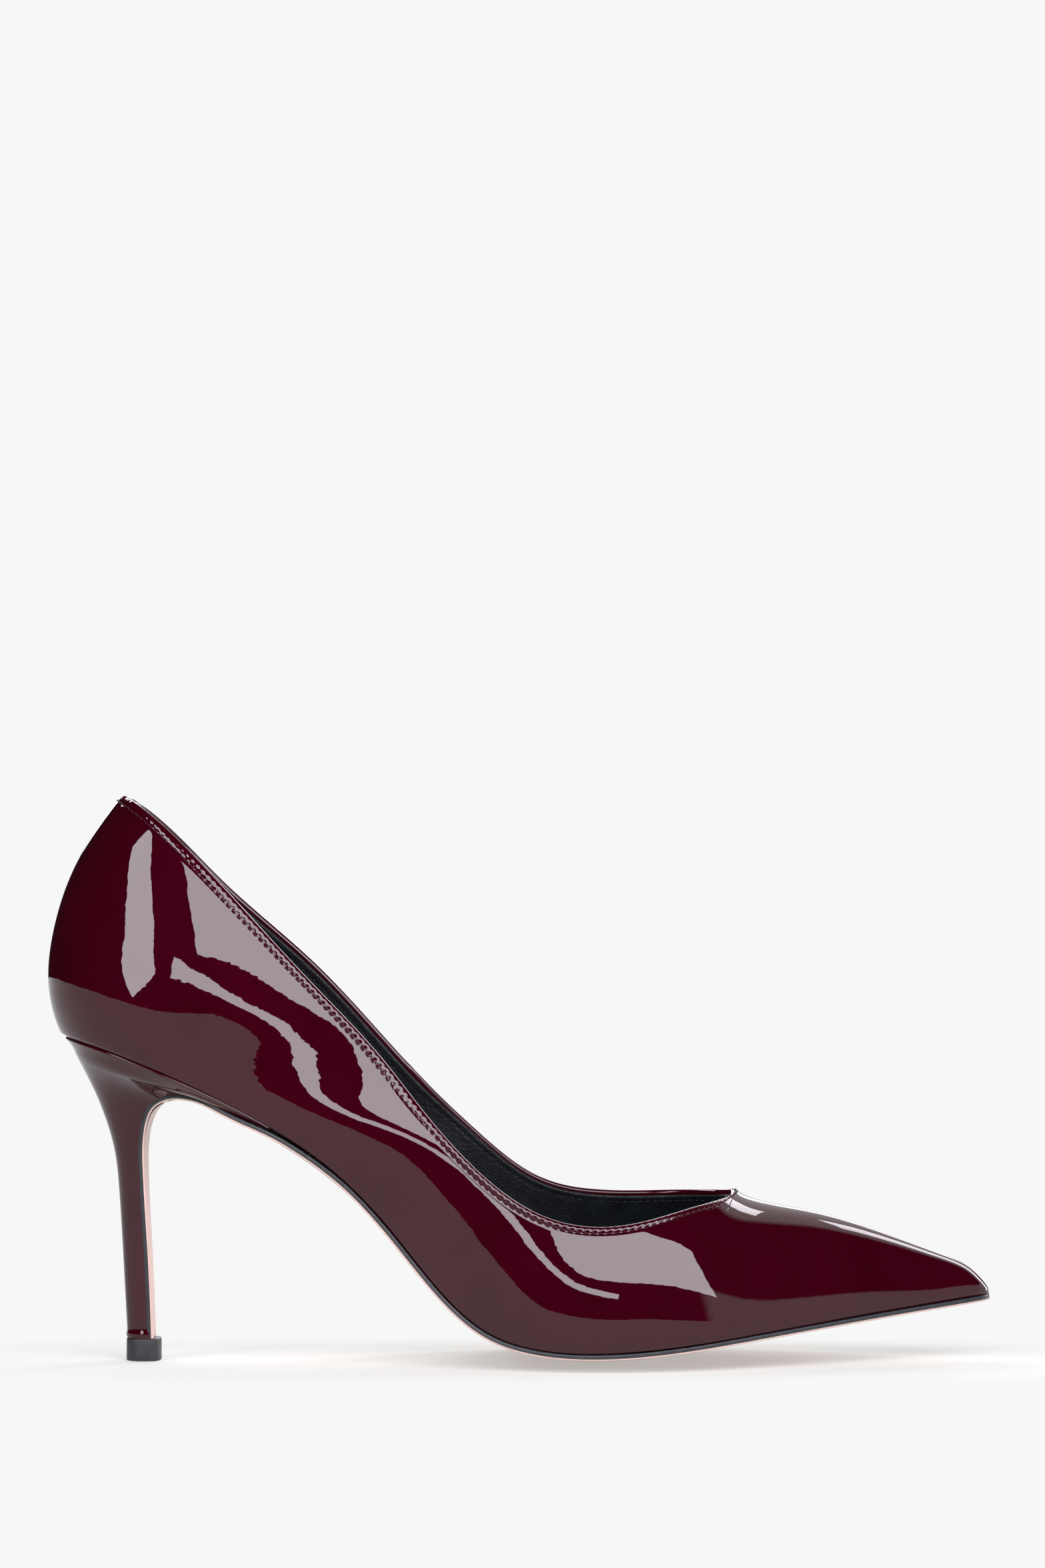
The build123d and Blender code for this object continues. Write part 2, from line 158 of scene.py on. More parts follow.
# Small tilts of the walls (x, slope), each turning about a line: a point (x, z) and its
# slope. The reach is how far from the line a tilt dies out.
HEEL_LINE = ((-72.5, 79.7), -0.57)
HEEL_TILT = [
    (-125.0, 0.08),
    (-105.0, 0.08),
    (-92.0, 0.07),
    (-72.0, 0.02),
    (-56.0, 0.0),
    (-30.0, 0.0),
    (20.0, 0.0),
    (70.0, 0.0),
    (130.0, 0.0),
]
HEEL_REACH = 12.0
WAIST_LINE = ((-32.4, 66.0), -0.76)
WAIST_TILT = [
    (-125.0, 0.0),
    (-90.0, 0.0),
    (-62.0, 0.0),
    (-46.0, -0.05),
    (-33.0, -0.07),
    (-20.0, -0.03),
    (-8.0, 0.0),
    (20.0, 0.0),
    (70.0, 0.0),
    (130.0, 0.0),
]
WAIST_REACH = 8.0
TILT_RANGE = (-125, 130)
MEAN_HALF_WIDTH = 26.0


def spline(knots, values):
    """Natural cubic spline through values at knots, as a function of the knot value."""
    x = np.asarray(knots, float)
    y = np.asarray(values, float)
    flat = y.ndim == 1
    if flat:
        y = y[:, None]
    count = len(x)
    gap = np.diff(x)
    matrix = np.eye(count)
    right = np.zeros_like(y)
    for i in range(1, count - 1):
        matrix[i, i - 1 : i + 2] = gap[i - 1], 2 * (gap[i - 1] + gap[i]), gap[i]
        right[i] = 6 * ((y[i + 1] - y[i]) / gap[i] - (y[i] - y[i - 1]) / gap[i - 1])
    bend = np.linalg.solve(matrix, right)

    def at(t):
        t = np.asarray(t, float)
        i = np.clip(np.searchsorted(x, t, side="right") - 1, 0, count - 2)
        step = (t - x[i])[..., None]
        width = gap[i][..., None]
        slope = (y[i + 1] - y[i]) / width - width * (2 * bend[i] + bend[i + 1]) / 6
        cubic = step * (bend[i + 1] - bend[i]) / (6 * width)
        value = y[i] + step * (slope + step * (bend[i] / 2 + cubic))
        return value[..., 0] if flat else value

    return at


def last_splines():
    """Splines of the section values over the station, carried on round the toe tip."""
    mirrored = LAST_SECTIONS[::-1][:4]
    bottoms = [s[0] for s in LAST_SECTIONS] + [TOE_TIP] + [s[1] for s in mirrored]
    tops = [s[1] for s in LAST_SECTIONS] + [TOE_TIP] + [s[0] for s in mirrored]
    widths = [s[2] for s in LAST_SECTIONS] + [0.0] + [-s[2] for s in mirrored]
    centres = [s[3] for s in LAST_SECTIONS] + [LAST_SECTIONS[-1][3]] + [s[3] for s in mirrored]
    fullness = [s[4] for s in LAST_SECTIONS] + [0.0] + [-s[4] for s in mirrored]
    stations = range(len(bottoms))
    return [spline(stations, v) for v in (bottoms, tops, widths, centres, fullness)]


def curve_through(points):
    """Spline of the second value of each point over the first."""
    return spline([p[0] for p in points], [p[1] for p in points])


bottom_at, top_at, width_at, centre_at, fullness_at = last_splines()
feather_at = curve_through(FEATHER_LINE)
heel_tilt_at = curve_through(HEEL_TILT)
waist_tilt_at = curve_through(WAIST_TILT)
topline_at = {-1: curve_through(TOPLINE_LATERAL), 1: curve_through(TOPLINE_MEDIAL)}


def smooth_step(t):
    """A step from 0 to 1 that starts and ends flat."""
    t = np.clip(t, 0, 1)
    return t * t * (3 - 2 * t)


def squeeze(x, z):
    """Factor on the half width: the lean below the topline, the belly and the tilts."""
    start, end = EDGE_LEAN_END
    depth = np.maximum(topline_at[-1](x) - z, -EDGE_LEAN_ABOVE)
    fade = 1 - smooth_step((x - start) / (end - start))
    lean = EDGE_LEAN * np.exp(-depth / EDGE_LEAN_DEPTH) * fade
    rise = (z - feather_at(x)) / BELLY_HEIGHT
    tilt = 0
    for line, angle_at, reach in (
        (HEEL_LINE, heel_tilt_at, HEEL_REACH),
        (WAIST_LINE, waist_tilt_at, WAIST_REACH),
    ):
        (line_x, line_z), slope = line
        over = (z - line_z - slope * (x - line_x)) / reach
        tilt = tilt + angle_at(np.clip(x, *TILT_RANGE)) * reach * np.tanh(over) / MEAN_HALF_WIDTH
    return (1 - lean) * (1 + BELLY * np.exp(-(rise**2))) * (1 - tilt)


def last_point(station, turn):
    """A point of the last: turn 0 is the bottom or the back, pi the top; its sign the side."""
    low = bottom_at(station)
    high = top_at(station)
    share = (1 - np.cos(turn)) / 2
    middle = low + (high - low) * share[..., None]
    lean = np.cos(turn)
    swell = 1 + fullness_at(station) * lean + SECTION_ROUNDNESS * lean**2
    x, z = middle[..., 0], middle[..., 1]
    y = centre_at(station) + width_at(station) * np.sin(turn) * swell * squeeze(x, z)
    return np.stack([x, y, z], -1)


def last_normal(station, turn):
    """Outward unit normal of the last."""
    step = 1e-3
    station = np.clip(station, step, TIP_STATION + 3 - step)
    along = last_point(station + step, turn) - last_point(station - step, turn)
    around = last_point(station, turn + step) - last_point(station, turn - step)
    normal = np.cross(around, along)
    length = np.linalg.norm(normal, axis=-1, keepdims=True)
    return normal / np.maximum(length, 1e-12)


def above_feather(point):
    """Height of a point over the crowned surface where the upper meets the sole."""
    return point[..., 2] - feather_at(point[..., 0]) - point[..., 1] ** 2 / (2 * SOLE_CROWN_RADIUS)


def above_topline(point, side):
    """Height of a point over the topline of one side, seen from the side."""
    return point[..., 2] - topline_at[side](point[..., 0])


def crossing(height, low, high, steps=50):
    """Bisect for the turn where a rising height passes zero."""
    low = low.copy()
    high = high.copy()
    for _ in range(steps):
        middle = (low + high) / 2
        below = height(middle) < 0
        low = np.where(below, middle, low)
        high = np.where(below, high, middle)
    return (low + high) / 2


def level_curve(height, side, first, last_station, count=900):
    """Stations and turns along which a height is zero, from the back to the front."""

    def start_height(station):
        return height(last_point(station, np.zeros_like(station)))

    low, high = np.array(first[0]), np.array(first[1])
    for _ in range(60):
        middle = (low + high) / 2
        if start_height(middle) > 0:
            low = middle
        else:
            high = middle
    start = float((low + high) / 2)
    share = np.linspace(0, 1, count)
    station = start + (last_station - start) * share**2
    if last_station < TIP_STATION:
        station = start + (last_station - start) * (1 - np.cos(pi * share)) / 2
    turn = crossing(
        lambda t: height(last_point(station, side * t)), np.zeros(count), np.full(count, pi)
    )
    turn[0] = 0.0
    return station, turn


def arc_length(points):
    """Length along a polyline up to each of its points."""
    return np.concatenate([[0], np.cumsum(np.linalg.norm(np.diff(points, axis=0), axis=1))])


def resample(station, turn, side, shares):
    """Stations and turns of a curve on the last at shares of its length."""
    length = arc_length(last_point(station, side * turn))
    length /= length[-1]
    return np.interp(shares, length, station), np.interp(shares, length, turn)


def v_station():
    """Station where the ridge of the vamp reaches the point of the V."""
    low, high = 12.0, 13.5
    for _ in range(50):
        middle = (low + high) / 2
        x, z = top_at(middle)
        if z > topline_at[-1](x):
            low = middle
        else:
            high = middle
    return (low + high) / 2


V_STATION = v_station()
TOPLINE_COLUMNS = 960
RIDGE_COLUMNS = 240
FEATHER_SHARE = 0.66
WALL_ROWS = 46


def lerp(a, b, t):
    return a + (b - a) * t


def unit(vectors):
    return vectors / np.maximum(np.linalg.norm(vectors, axis=-1, keepdims=True), 1e-9)


class Wall:
    """One side of the upper: columns from the feather line up to the topline or the ridge."""

    def __init__(self, side):
        self.side = side
        shares = np.concatenate(
            [
                np.linspace(0, 1, TOPLINE_COLUMNS + 1),
                np.linspace(1, 2, RIDGE_COLUMNS + 1)[1:],
            ]
        )
        feather = level_curve(above_feather, side, (3.5, 4.6), TIP_STATION - 1e-4)
        topline = level_curve(lambda p: above_topline(p, side), side, (0.0, 1.2), V_STATION)
        topline[1][-1] = pi
        front = shares > 1
        low_share = np.where(
            front, FEATHER_SHARE + (shares - 1) * (1 - FEATHER_SHARE), shares * FEATHER_SHARE
        )
        self.low = resample(*feather, side, low_share)
        ridge = np.linspace(V_STATION, TIP_STATION - 1e-4, 400)
        edge = resample(*topline, side, np.minimum(shares, 1))
        crest = resample(ridge, np.full(400, pi), side, np.clip(shares - 1, 0, 1))
        self.high = [np.where(front, crest[k], edge[k]) for k in (0, 1)]
        fine = np.linspace(0, 1, 25)[:, None]
        path = self.at(fine)[0]
        run = np.linalg.norm(np.diff(path, axis=0), axis=2).sum(0)
        along = unit(np.gradient(path[-1], axis=0))
        down = unit(path[-2] - path[-1])
        slant = np.sqrt(np.clip(1 - (down * along).sum(1) ** 2, 0.15, 1))
        to_v = smooth_step((np.arange(len(shares)) - TOPLINE_COLUMNS + 60) / 60)
        self.run = run
        self.height = run * lerp(slant, 1, to_v)
        self.edge_length = arc_length(path[-1])

    def at(self, share):
        """Points and outward normals at shares of the way from the feather to the edge."""
        station = lerp(self.low[0], self.high[0], share)
        turn = self.side * lerp(self.low[1], self.high[1], share)
        return last_point(station, turn), last_normal(station, turn)

    def below_edge(self, depth):
        """Points and normals at a depth below the edge, less deep where the wall is low."""
        reach = np.minimum(depth, 0.5 * self.height * depth / EDGE_BAND)
        return self.at(1 - reach / self.height)

    def above_low(self, rise):
        """Points and normals at a height above the feather line."""
        return self.at(np.minimum(rise / self.run, 0.3))


# ---------------------------------------------------------------------------------------
# Mesh helpers
# ---------------------------------------------------------------------------------------
def grid_faces(rows, columns, flip=False):
    """Quads of a grid of points, rows by columns."""
    index = np.arange(rows * columns).reshape(rows, columns)
    quads = np.stack([index[:-1, :-1], index[:-1, 1:], index[1:, 1:], index[1:, :-1]], -1)
    quads = quads.reshape(-1, 4)
    return quads[:, ::-1] if flip else quads


def make_mesh(name, parts, materials, inward=False, merge=2e-6):
    """One object from grids: (points in mm, rows by columns by 3; flip; material)."""
    points = []
    faces = []
    slots = []
    base = 0
    for grid, flip, material in parts:
        rows, columns = grid.shape[:2]
        points.append(grid.reshape(-1, 3) * MM)
        quads = grid_faces(rows, columns, flip) + base
        faces.append(quads)
        slots.append(np.full(len(quads), material))
        base += rows * columns
    points = np.concatenate(points)
    faces = np.concatenate(faces)
    mesh = bpy.data.meshes.new(name)
    mesh.from_pydata(points.tolist(), [], faces.tolist())
    mesh.polygons.foreach_set("material_index", np.concatenate(slots).astype(np.int32))
    for material in materials:
        mesh.materials.append(material)
    piece = bpy.data.objects.new(name, mesh)
    bpy.context.scene.collection.objects.link(piece)
    work = bmesh.new()
    work.from_mesh(mesh)
    bmesh.ops.remove_doubles(work, verts=work.verts, dist=merge)
    bmesh.ops.dissolve_degenerate(work, edges=work.edges, dist=merge / 4)
    bmesh.ops.recalc_face_normals(work, faces=work.faces)
    middle = sum((v.co for v in work.verts), Vector()) / len(work.verts)
    outward = sum(f.normal.dot(f.calc_center_median() - middle) * f.calc_area() for f in work.faces)
    if (outward < 0) != inward:
        bmesh.ops.reverse_faces(work, faces=work.faces)
    work.to_mesh(mesh)
    work.free()
    mesh.shade_smooth()
    return piece


# ---------------------------------------------------------------------------------------
# Materials
# ---------------------------------------------------------------------------------------
def new_material(name, base, roughness, specular=0.5, coat=0.0, coat_roughness=0.03):
    """A Principled material; returns the material, its node tree and its shader."""
    material = bpy.data.materials.new(name)
    material.use_nodes = True
    tree = material.node_tree
    shader = tree.nodes["Principled BSDF"]
    shader.inputs["Base Color"].default_value = (*base, 1)
    shader.inputs["Roughness"].default_value = roughness
    shader.inputs["Specular IOR Level"].default_value = specular
    shader.inputs["Coat Weight"].default_value = coat
    shader.inputs["Coat Roughness"].default_value = coat_roughness
    return material, tree, shader


def add_node(tree, kind, settings=None, links=None, **inputs):
    """One node with its settings, input values and links from other sockets."""
    node = tree.nodes.new(kind)
    for key, value in (settings or {}).items():
        setattr(node, key, value)
    for key, value in inputs.items():
        node.inputs[key.replace("_", " ")].default_value = value
    for key, socket in (links or {}).items():
        tree.links.new(socket, node.inputs[key])
    return node


def object_coordinates(tree):
    """Coordinates fixed to the object, in metres."""
    return add_node(tree, "ShaderNodeTexCoord").outputs["Object"]


def stretched(tree, place, stretch):
    """Coordinates multiplied by a factor on each axis."""
    return add_node(tree, "ShaderNodeMapping", links={"Vector": place}, Scale=stretch).outputs[0]


def noise(tree, scale, detail=2.0, roughness=0.5, stretch=None):
    """Noise over the object, with a scale in cycles per metre."""
    place = object_coordinates(tree)
    if stretch:
        place = stretched(tree, place, stretch)
    node = add_node(
        tree,
        "ShaderNodeTexNoise",
        links={"Vector": place},
        Scale=scale,
        Detail=detail,
        Roughness=roughness,
    )
    return node.outputs["Fac"]


def cells(tree, scale, feature="F1"):
    """Pattern of cells over the object, with a scale in cycles per metre."""
    links = {"Vector": object_coordinates(tree)}
    node = add_node(tree, "ShaderNodeTexVoronoi", {"feature": feature}, links, Scale=scale)
    return node.outputs["Distance"]


def ramp(tree, value, stops):
    """Colours over a value: stops are (position, (r, g, b))."""
    node = add_node(tree, "ShaderNodeValToRGB", links={"Fac": value})
    elements = node.color_ramp.elements
    while len(elements) < len(stops):
        elements.new(0.5)
    for element, (position, colour) in zip(elements, stops):
        element.position = position
        element.color = (*colour, 1)
    return node.outputs["Color"]


def bump(tree, shader, layers, socket="Normal"):
    """Stack bump layers, each (height, distance in metres, strength)."""
    normal = None
    for height, distance, strength in layers:
        links = {"Height": height}
        if normal:
            links["Normal"] = normal
        node = add_node(tree, "ShaderNodeBump", links=links, Distance=distance, Strength=strength)
        normal = node.outputs["Normal"]
    tree.links.new(normal, shader.inputs[socket])


def patent_leather():
    """Burgundy patent: a near-black wine base under a thick clear mirror-like film."""
    material, tree, shader = new_material(
        "patent_burgundy", (0.035, 0.0002, 0.0048), 0.5, 0.0, 1.0, 0.012
    )
    shader.inputs["Coat IOR"].default_value = 1.48
    base = ramp(
        tree,
        noise(tree, 60, 3),
        [(0.3, (0.025, 0.0001, 0.0033)), (0.7, (0.031, 0.0002, 0.0042))],
    )
    tree.links.new(base, shader.inputs["Base Color"])
    film = [
        (noise(tree, 55, 1.0), 0.0006, 0.10),
        (noise(tree, 230, 2.0), 0.00012, 0.14),
    ]
    bump(tree, shader, film, "Coat Normal")
    grain = [(noise(tree, 2600, 3, 0.6), 0.00008, 0.25)]
    bump(tree, shader, grain)
    return material


def grained_lining():
    """Black lining leather with a fine pebble grain and a dull sheen."""
    material, tree, shader = new_material("lining_black", (0.004, 0.006, 0.008), 0.5, 0.35)
    colour = ramp(
        tree,
        noise(tree, 220, 4),
        [(0.3, (0.0028, 0.0042, 0.0060)), (0.75, (0.0068, 0.0095, 0.0125))],
    )
    tree.links.new(colour, shader.inputs["Base Color"])
    rough = ramp(tree, noise(tree, 900, 3), [(0.3, (0.42, 0.42, 0.42)), (0.7, (0.58, 0.58, 0.58))])
    tree.links.new(rough, shader.inputs["Roughness"])
    bump(
        tree,
        shader,
        [(cells(tree, 1500), 0.00018, 0.5), (noise(tree, 4200, 3, 0.6), 0.00005, 0.5)],
    )
    return material


def painted_edge():
    """Black edge paint on the sole leather, slightly satin and finely ridged."""
    material, tree, shader = new_material("edge_paint_black", (0.020, 0.023, 0.026), 0.42, 0.4)
    colour = ramp(
        tree,
        noise(tree, 500, 4),
        [(0.3, (0.016, 0.018, 0.021)), (0.75, (0.028, 0.032, 0.036))],
    )
    tree.links.new(colour, shader.inputs["Base Color"])
    bump(tree, shader, [(noise(tree, 1400, 4, 0.6), 0.00007, 0.45)])
    return material


def nude_leather():
    """Smooth pale sole leather with fine pores and a slightly uneven tone."""
    material, tree, shader = new_material("sole_nude", (0.60, 0.42, 0.375), 0.38, 0.45, 0.15, 0.25)
    colour = ramp(
        tree,
        noise(tree, 45, 5, 0.6),
        [(0.25, (0.56, 0.385, 0.335)), (0.75, (0.66, 0.475, 0.425))],
    )
    tree.links.new(colour, shader.inputs["Base Color"])
    bump(
        tree,
        shader,
        [(cells(tree, 1900), 0.00006, 0.35), (noise(tree, 60, 3, 0.6, (0.3, 1, 1)), 0.0004, 0.12)],
    )
    return material


def tip_rubber():
    """Dense black top-piece plastic with faint scuffs."""
    material, tree, shader = new_material("tip_black", (0.018, 0.021, 0.024), 0.48, 0.45)
    colour = ramp(
        tree,
        noise(tree, 700, 5, 0.65),
        [(0.35, (0.014, 0.016, 0.018)), (0.8, (0.034, 0.038, 0.042))],
    )
    tree.links.new(colour, shader.inputs["Base Color"])
    bump(tree, shader, [(noise(tree, 1800, 4, 0.6, (1, 1, 0.4)), 0.00008, 0.5)])
    return material


def stitching_thread():
    """Burgundy polyester thread with its twist; the grooves between the plies are painted darker as
    shade.
    """
    material, tree, shader = new_material("thread_burgundy", (0.04, 0.001, 0.006), 0.55, 0.25)
    twist_height_and_shade = add_node(
        tree,
        "ShaderNodeTexWave",
        {"bands_direction": "DIAGONAL"},
        {"Vector": object_coordinates(tree)},
        Scale=900.0,
        Distortion=1.5,
    ).outputs["Fac"]
    # Painted shade: the thread is darker in the low grooves of the twist and lighter on the raised
    # plies.
    colour = ramp(tree, twist_height_and_shade, [(0.2, (0.022, 0.0005, 0.004)), (0.8, (0.055, 0.002, 0.009))])
    tree.links.new(colour, shader.inputs["Base Color"])
    bump(tree, shader, [(twist_height_and_shade, 0.00008, 0.6)])
    return material


def plain_inner(name, base, roughness, scale, metallic=0.0):
    """Material of a piece inside the shoe: an uneven tone and a matching fine relief."""
    material, tree, shader = new_material(name, base, roughness)
    shader.inputs["Metallic"].default_value = metallic
    dark = tuple(0.8 * c for c in base)
    light = tuple(min(1.0, 1.15 * c) for c in base)
    tone = noise(tree, scale, 4, 0.6)
    tree.links.new(ramp(tree, tone, [(0.3, dark), (0.7, light)]), shader.inputs["Base Color"])
    bump(tree, shader, [(noise(tree, 6 * scale, 3, 0.6), 0.0001, 0.3)])
    return material


PATENT = patent_leather()
LINING = grained_lining()
EDGE = painted_edge()
NUDE = nude_leather()
TIP = tip_rubber()
THREAD = stitching_thread()

INNER_LOOKS = {
    "lining_leather": plain_inner("inner_lining_leather", (0.008, 0.010, 0.012), 0.6, 500),
    "fibreboard": plain_inner("inner_fibreboard", (0.33, 0.20, 0.11), 0.85, 700),
    "textile": plain_inner("inner_textile", (0.62, 0.60, 0.55), 0.9, 1500),
    "tape": plain_inner("inner_tape", (0.7, 0.69, 0.66), 0.9, 1500),
    "steel": plain_inner("inner_steel", (0.42, 0.42, 0.43), 0.32, 400, 1.0),
    "cork": plain_inner("inner_cork", (0.36, 0.21, 0.10), 0.9, 450),
    "foam": plain_inner("inner_foam", (0.70, 0.66, 0.50), 0.95, 900),
    "heel_plastic": plain_inner("inner_heel_plastic", (0.55, 0.53, 0.48), 0.5, 300),
    "tip_plastic": TIP,
    "patent_leather": PATENT,
    "sole_leather": NUDE,
}


def dress_inner_nodes():
    """Give each CAD node the look of its material slot in the record."""
    for part in frame["record"]["subparts"]:
        node = frame["nodes"].get(part.get("node") or part.get("name"))
        if node is None:
            continue
        node.data.materials.clear()
        node.data.materials.append(INNER_LOOKS[part["material_slot"]])
        node.data.shade_smooth()


# ---------------------------------------------------------------------------------------
# Upper: outer wall, turned rim, curled lower edge
# ---------------------------------------------------------------------------------------
EDGE_BAND = 4.6
RIM_DEPTH = 0.95
RIM_THICKNESS = 1.7
STITCH_DEPTH = 1.9
STITCH_PITCH = 2.0
LOW_CURL = 1.6

walls = {side: Wall(side) for side in (-1, 1)}


def puckers(wall, depth):
    """How far the leather stands proud at a depth below the edge: a row of small pillows."""
    wave = np.cos(2 * pi * wall.edge_length / STITCH_PITCH)
    groove = -0.14 * np.exp(-(((depth - STITCH_DEPTH) / 0.34) ** 2))
    pillow = 0.03 * wave * np.exp(-(((depth - 1.15) / 0.75) ** 2))
    belly = 0.05 * np.exp(-(((depth - 0.9) / 0.5) ** 2))
    fade = smooth_step((TOPLINE_COLUMNS - np.arange(len(wave))) / 6 + 0.5)
    return (groove + pillow + belly) * fade


def upper_grid(wall):
    """Rows of one side of the upper, from under the feather edge to inside the rim."""
    rows = []
    low, low_normal = wall.above_low(LOW_CURL)
    down = unit(wall.at(0.0)[0] - low)
    rows.append(low - 3.2 * low_normal + (LOW_CURL + 0.05) * down)
    for turn in np.linspace(pi / 2, 0, 6)[:-1]:
        rows.append(low - LOW_CURL * (1 - cos(turn)) * low_normal + LOW_CURL * sin(turn) * down)
    first = np.minimum(LOW_CURL / wall.run, 0.3)
    last = 1 - np.minimum(EDGE_BAND, 0.5 * wall.height) / wall.height
    for k in range(WALL_ROWS):
        rows.append(wall.at(lerp(first, last, k / WALL_ROWS))[0])
    for depth in np.linspace(EDGE_BAND, RIM_DEPTH, 20):
        point, normal = wall.below_edge(depth)
        rows.append(point + normal * puckers(wall, depth)[:, None])
    return np.array(rows)


def rim_grid(wall):
    """Rows of the rolled rim of one side, over the edge and down inside."""
    rows = []
    columns = slice(0, TOPLINE_COLUMNS + 1)
    for turn in np.linspace(0, pi, 13):
        depth = RIM_DEPTH * (1 - sin(turn))
        point, normal = wall.below_edge(depth)
        outer = puckers(wall, RIM_DEPTH)[:, None] * max(cos(turn), 0)
        rows.append(point - normal * (RIM_THICKNESS / 2 * (1 - cos(turn)) - outer))
    for depth in (1.6, 2.6, 4.4):
        point, normal = wall.below_edge(depth)
        rows.append(point - normal * RIM_THICKNESS)
    return np.array(rows)[:, columns]


def ridge_rows(wall):
    """The last rows of the vamp, up to the ridge where both sides meet."""
    rows = []
    columns = slice(TOPLINE_COLUMNS, None)
    for depth in (RIM_DEPTH, 0.7, 0.45, 0.2, 0.0):
        point, normal = wall.below_edge(depth)
        lift = puckers(wall, depth)[:, None] if depth == RIM_DEPTH else 0
        rows.append(point + normal * lift)
    return np.array(rows)[:, columns]


upper_parts = []
for side, wall in walls.items():
    upper_parts.append((upper_grid(wall), side > 0, 0))
    upper_parts.append((rim_grid(wall), side > 0, 0))
    upper_parts.append((ridge_rows(wall), side > 0, 0))
upper_shell = make_mesh("upper_shell", upper_parts, [PATENT])
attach(upper_shell, "root")
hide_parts("upper", "topline_tape", "interlining", "toe_puff", "heel_counter")


# ---------------------------------------------------------------------------------------
# Lining and sock
# ---------------------------------------------------------------------------------------
LINING_FACE = 2.35
LINING_TOP = 1.0
LINING_SEAM = 1.6
SOCK_HEIGHT = 3.7


def lining_grid(wall):
    """Rows of the lining of one side, from its top edge down to the sock."""
    station = lerp(wall.low[0], wall.high[0], 0.5)
    inside = np.maximum(wall.low[0], wall.high[0]) < TIP_STATION - 0.9
    slim = np.clip((TIP_STATION - station) / 3, 0.12, 1)[:, None]
    rows = []
    lip = ((1.5, 1.55), (LINING_TOP, 1.65), (LINING_TOP - 0.05, 2.05), (LINING_TOP + 0.2, 2.3))
    for depth, inset in lip:
        point, normal = wall.below_edge(depth)
        rows.append(point - normal * inset * slim)
    for depth in np.linspace(1.4, EDGE_BAND, 12):
        point, normal = wall.below_edge(depth)
        dimple = 0.14 * np.exp(-(((depth - LINING_TOP - LINING_SEAM) / 0.3) ** 2))
        rows.append(point - normal * (LINING_FACE - dimple) * slim)
    top = 1 - np.minimum(EDGE_BAND, 0.5 * wall.height) / wall.height
    bottom = np.minimum(2.8 / wall.height, 0.3)
    for k in range(1, 41):
        point, normal = wall.at(lerp(top, bottom, k / 40))
        rows.append(point - normal * LINING_FACE * slim)
    return np.array(rows)[:, inside]


def sock_grid():
    """The sock lining: a soft sheet over the insole with its edge turned up to the wall."""
    count = 420
    borders = []
    for side in (-1, 1):
        curve = level_curve(
            lambda p: above_feather(p) - SOCK_HEIGHT, side, (2.5, 4.6), TIP_STATION - 0.9
        )
        station, turn = resample(*curve, side, np.linspace(0, 1, count))
        point = last_point(station, side * turn)
        slim = np.clip((TIP_STATION - station) / 3, 0.12, 1)[:, None]
        borders.append(point - last_normal(station, side * turn) * (LINING_FACE + 0.05) * slim)
    rows = []
    for share in (1 - np.cos(pi * np.linspace(0, 1, 61))) / 2:
        point = lerp(borders[0], borders[1], share)
        x, y = point[:, 0], point[:, 1]
        height = SOCK_HEIGHT + 0.5 * (2 * abs(share - 0.5)) ** 12
        point[:, 2] = feather_at(x) + y**2 / (2 * SOLE_CROWN_RADIUS) + height
        rows.append(point)
    return np.array(rows)


lining = make_mesh(
    "lining_skin", [(lining_grid(wall), side < 0, 0) for side, wall in walls.items()], [LINING], True
)
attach(lining, "root")
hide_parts("quarter_lining_lateral", "quarter_lining_medial", "vamp_lining", "heel_grip")
sock = make_mesh("sock_sheet", [(sock_grid(), False, 0)], [LINING])
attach(sock, "root")
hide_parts("sock_lining", "insole_board", "heel_pad", "forefoot_pad")


# ---------------------------------------------------------------------------------------
# Outsole with its breast flap
# ---------------------------------------------------------------------------------------
WEDGE_FRONT = -64.0
FLAP_START = -60.0
SOLE_POINTS = 360
FLAP_POINTS = 200

# Where the sole bends into the flap: the points left out so that the bend is round, the
# step between the points that are kept, the extra points over the bend and the flap, and
# the points before the bend that follow the rounded line.
BEND_GAP = 20
BEND_STEP = 4
BEND_EXTRA = 40
BEND_ROUNDED = 60

# Edge and bevel as (distance out from the outline, share of the thickness below it).
EDGE_PROFILE = [
    (-1.4, -0.28),
    (-0.5, -0.33),
    (-0.16, -0.33),
    (-0.02, -0.29),
    (0.08, -0.20),
    (0.14, -0.05),
    (0.16, 0.35),
    (0.13, 0.60),
]
BEVEL_PROFILE = [(0.13, 0.60), (0.08, 0.80), (-0.02, 0.93), (-0.28, 0.99), (-0.65, 1.0), (-1.2, 1.0)]


def feather_outline(side):
    """Points of the outline where one side of the upper meets the sole."""
    station, turn = level_curve(above_feather, side, (3.5, 4.6), TIP_STATION - 1e-4, 2500)
    return last_point(station, side * turn)


outlines = {side: feather_outline(side) for side in walls}
heel_knots = np.arange(len(HEEL_SECTIONS))
heel_back_at = spline(heel_knots, [s[0] for s in HEEL_SECTIONS])
heel_edge_at = spline(heel_knots, [s[1] for s in HEEL_SECTIONS])
heel_width_at = spline(heel_knots, [s[2] for s in HEEL_SECTIONS])


